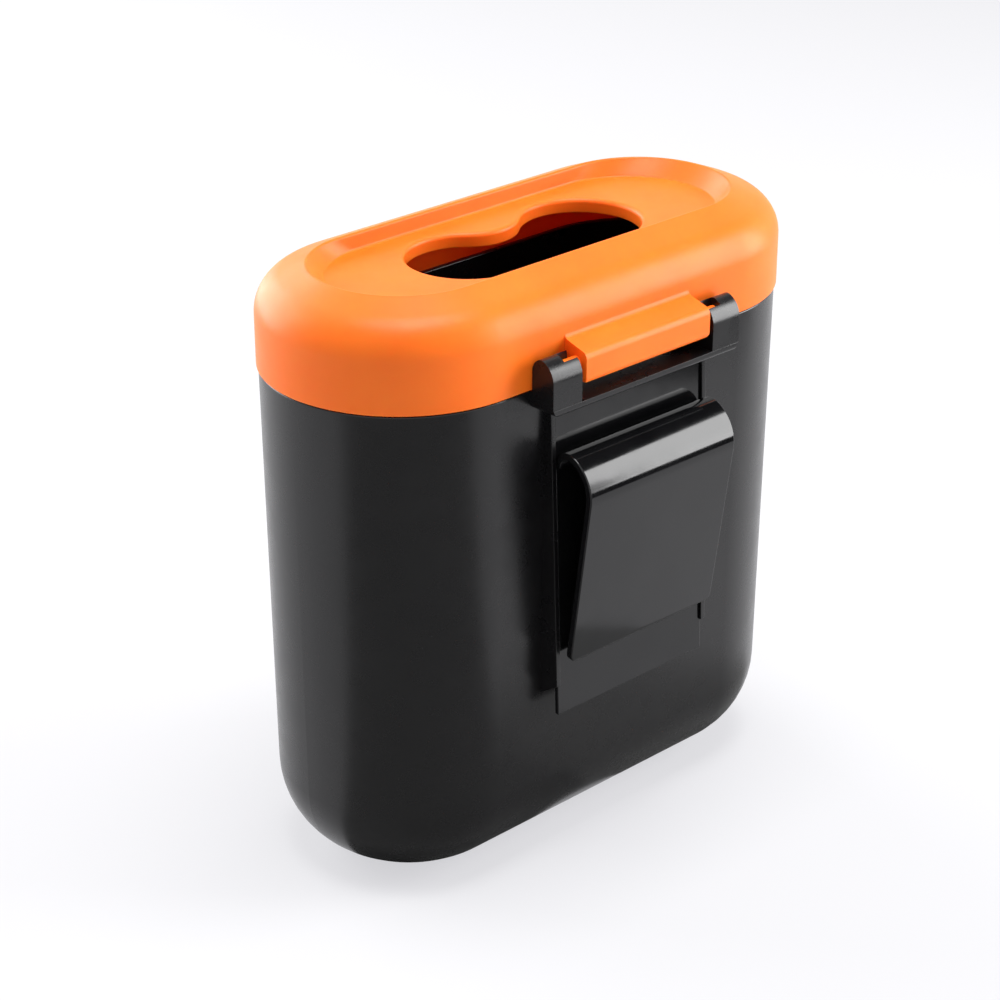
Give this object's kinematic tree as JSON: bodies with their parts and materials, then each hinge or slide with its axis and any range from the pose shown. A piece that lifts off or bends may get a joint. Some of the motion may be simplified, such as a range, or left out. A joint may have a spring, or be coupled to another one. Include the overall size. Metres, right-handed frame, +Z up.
{
  "type": "car trash bin",
  "caption": "Oval car litter bin with a rounded base, a hinged lid with a sunk top and a waved drop opening, and a spring clip that hangs it on a pocket.",
  "frame": {"origin": "on the surface the bin stands on, under the middle of the oval tub", "axes": "+Z up, +X along the bin's width, +Y from the tub towards the hinge and the clip"},
  "size_m": [0.17, 0.0942, 0.177],
  "materials": {
    "tub_plastic": "fine satin, moulded",
    "lid_plastic": "fine satin, moulded",
    "clip_plastic": "polished, moulded"
  },
  "bodies": {
    "bin": {"tub": "tub_plastic", "hanging_clip": "clip_plastic"},
    "lid": {"lid": "lid_plastic"}
  },
  "joints": [
    {"name": "lid_hinge", "type": "hinge", "parent": "bin", "child": "lid", "pos_m": [0, 0.0438, 0.155], "axis": [-1, 0, 0], "range_deg": [0, 110]}
  ]
}
